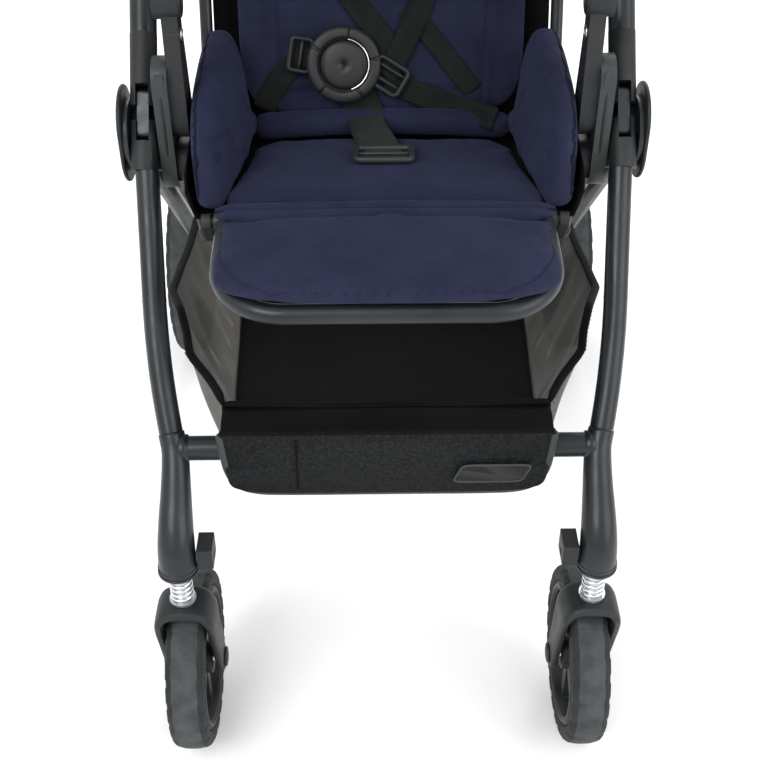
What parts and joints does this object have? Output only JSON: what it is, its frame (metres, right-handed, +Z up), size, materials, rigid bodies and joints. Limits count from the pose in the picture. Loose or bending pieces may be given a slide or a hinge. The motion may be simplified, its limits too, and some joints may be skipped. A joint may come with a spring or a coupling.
{
  "type": "baby stroller",
  "caption": "Folding pushchair with sprung swivel front wheels, larger rear wheels, padded reclining seat, hood, basket and telescopic handle.",
  "frame": {"origin": "middle of the bounding box on the floor, between the front and rear wheels", "axes": "+Z up, the child faces -Y, +X towards the side named right"},
  "size_m": [0.614, 0.945, 1.045],
  "materials": {
    "frame_paint": "satin black paint on aluminium tube",
    "grey_plastic": "fine textured moulded plastic",
    "steel": "bright plated steel",
    "tyre": "matt foam rubber tyre with a paler worn tread",
    "rim_plastic": "moulded wheel",
    "grip": "grained black cover with a seam",
    "navy_fabric": "smooth woven navy fabric",
    "basket_mesh": "black fabric with dark mesh sides",
    "basket_panel": "coarse black woven fabric on a stiffener",
    "webbing": "black ribbed webbing"
  },
  "bodies": {
    "chassis": {"front_leg_left": "frame_paint", "front_leg_right": "frame_paint", "hub_housing_left": "grey_plastic", "hub_housing_right": "grey_plastic", "hub_cover_left": "grey_plastic", "hub_cover_right": "grey_plastic", "frame_pins": "steel", "leg_foot_left": "frame_paint", "leg_foot_right": "frame_paint", "front_crossbar": "frame_paint", "seat_adapter_left": "grey_plastic", "seat_adapter_right": "grey_plastic", "seat_arm_left": "grey_plastic", "seat_arm_right": "grey_plastic", "seat_frame": "grey_plastic", "seat_cushion": "navy_fabric", "seat_wing_left": "navy_fabric", "seat_wing_right": "navy_fabric", "basket_tub": "basket_mesh", "basket_panel": "basket_panel", "crotch_strap": "webbing", "spring_left": "steel", "spring_right": "steel"},
    "fold_links": {"fold_link_left": "steel", "fold_link_right": "steel"},
    "handle_lower": {"handle_collar_left": "grey_plastic", "handle_collar_right": "grey_plastic", "handle_tube_left": "frame_paint", "handle_tube_right": "frame_paint"},
    "handle_upper": {"handle_bow": "frame_paint", "handle_grip": "grip"},
    "handle_button": {"handle_button": "grey_plastic"},
    "rear_frame": {"rear_leg_left": "frame_paint", "rear_leg_right": "frame_paint", "rear_axle_bar": "frame_paint"},
    "brake": {"brake_pedal": "grey_plastic"},
    "leg_rest": {"legrest_frame": "frame_paint", "legrest_pad": "navy_fabric"},
    "backrest": {"back_frame": "frame_paint", "back_pad": "navy_fabric", "hood_rear": "navy_fabric", "harness_straps": "webbing", "harness_buckle": "grey_plastic"},
    "hood_front": {"hood_front": "navy_fabric"},
    "recline_lever": {"recline_lever": "grey_plastic"},
    "buckle_button": {"buckle_button": "grey_plastic"},
    "suspension_left": {"stem_left": "steel"},
    "caster_left": {"fork_left": "grey_plastic"},
    "front_wheel_left": {"front_tyre_left": "tyre", "front_rim_left": "rim_plastic"},
    "swivel_lock_left": {"swivel_lock_left": "grey_plastic"},
    "rear_wheel_left": {"rear_tyre_left": "tyre", "rear_rim_left": "rim_plastic"},
    "suspension_right": {"stem_right": "steel"},
    "caster_right": {"fork_right": "grey_plastic"},
    "front_wheel_right": {"front_tyre_right": "tyre", "front_rim_right": "rim_plastic"},
    "swivel_lock_right": {"swivel_lock_right": "grey_plastic"},
    "rear_wheel_right": {"rear_tyre_right": "tyre", "rear_rim_right": "rim_plastic"}
  },
  "joints": [
    {"name": "handle_fold", "type": "hinge", "parent": "fold_links", "child": "handle_lower", "pos_m": [0, -0.1243, 0.61734], "axis": [1, 0, 0], "range_deg": [0, 70]},
    {"name": "fold_link_turn", "type": "hinge", "parent": "chassis", "child": "fold_links", "pos_m": [0, -0.14671, 0.58866], "axis": [1, 0, 0], "range_deg": [0, 70]},
    {"name": "rear_fold", "type": "hinge", "parent": "chassis", "child": "rear_frame", "pos_m": [0, -0.1285, 0.58], "axis": [1, 0, 0], "range_deg": [-50, 0]},
    {"name": "handle_height", "type": "slide", "parent": "handle_lower", "child": "handle_upper", "axis": [0, 0.6157, 0.788], "range_m": [0, 0.08]},
    {"name": "handle_button_press", "type": "slide", "parent": "handle_upper", "child": "handle_button", "axis": [0, 0.6157, 0.788], "range_m": [0, 0.0025], "stiffness_N_per_m": 300},
    {"name": "leg_rest_drop", "type": "hinge", "parent": "chassis", "child": "leg_rest", "pos_m": [0, -0.2395, 0.545], "axis": [1, 0, 0], "range_deg": [0, 75]},
    {"name": "back_recline", "type": "hinge", "parent": "chassis", "child": "backrest", "pos_m": [0, -0.0235, 0.54], "axis": [1, 0, 0], "range_deg": [-50, 0]},
    {"name": "hood_fold", "type": "hinge", "parent": "backrest", "child": "hood_front", "pos_m": [0, 0.05003, 0.74203], "axis": [1, 0, 0], "range_deg": [-44, 0]},
    {"name": "recline_pull", "type": "slide", "parent": "backrest", "child": "recline_lever", "axis": [0, 0.342, 0.9397], "range_m": [0, 0.01], "stiffness_N_per_m": 150},
    {"name": "buckle_press", "type": "slide", "parent": "backrest", "child": "buckle_button", "axis": [0, 0.9397, -0.342], "range_m": [0, 0.0015], "stiffness_N_per_m": 300},
    {"name": "brake_press", "type": "hinge", "parent": "rear_frame", "child": "brake", "pos_m": [0, 0.3395, 0.133], "axis": [1, 0, 0], "range_deg": [-20, 0]},
    {"name": "suspension_travel_left", "type": "slide", "parent": "chassis", "child": "suspension_left", "axis": [0, 0, 1], "range_m": [0, 0.01], "stiffness_N_per_m": 12000, "springref_m": -0.005, "deforming": ["spring_left"]},
    {"name": "caster_swivel_left", "type": "hinge", "parent": "suspension_left", "child": "caster_left", "pos_m": [-0.203, -0.4005, 0.203], "axis": [0, 0, 1], "continuous": true},
    {"name": "front_wheel_spin_left", "type": "hinge", "parent": "caster_left", "child": "front_wheel_left", "pos_m": [-0.203, -0.3785, 0.094], "axis": [1, 0, 0], "continuous": true},
    {"name": "swivel_lock_lift_left", "type": "slide", "parent": "chassis", "child": "swivel_lock_left", "axis": [0, 0, 1], "range_m": [0, 0.005]},
    {"name": "rear_wheel_spin_left", "type": "hinge", "parent": "rear_frame", "child": "rear_wheel_left", "pos_m": [-0.282, 0.3395, 0.133], "axis": [1, 0, 0], "continuous": true},
    {"name": "suspension_travel_right", "type": "slide", "parent": "chassis", "child": "suspension_right", "axis": [0, 0, 1], "range_m": [0, 0.01], "stiffness_N_per_m": 12000, "springref_m": -0.005, "deforming": ["spring_right"]},
    {"name": "caster_swivel_right", "type": "hinge", "parent": "suspension_right", "child": "caster_right", "pos_m": [0.203, -0.4005, 0.203], "axis": [0, 0, 1], "continuous": true},
    {"name": "front_wheel_spin_right", "type": "hinge", "parent": "caster_right", "child": "front_wheel_right", "pos_m": [0.203, -0.3785, 0.094], "axis": [1, 0, 0], "continuous": true},
    {"name": "swivel_lock_lift_right", "type": "slide", "parent": "chassis", "child": "swivel_lock_right", "axis": [0, 0, 1], "range_m": [0, 0.005]},
    {"name": "rear_wheel_spin_right", "type": "hinge", "parent": "rear_frame", "child": "rear_wheel_right", "pos_m": [0.282, 0.3395, 0.133], "axis": [1, 0, 0], "continuous": true}
  ],
  "couplings": [
    {"joint": "fold_link_turn", "follows": "handle_fold", "ratio": 1},
    {"joint": "rear_fold", "follows": "handle_fold", "ratio": -0.7}
  ]
}
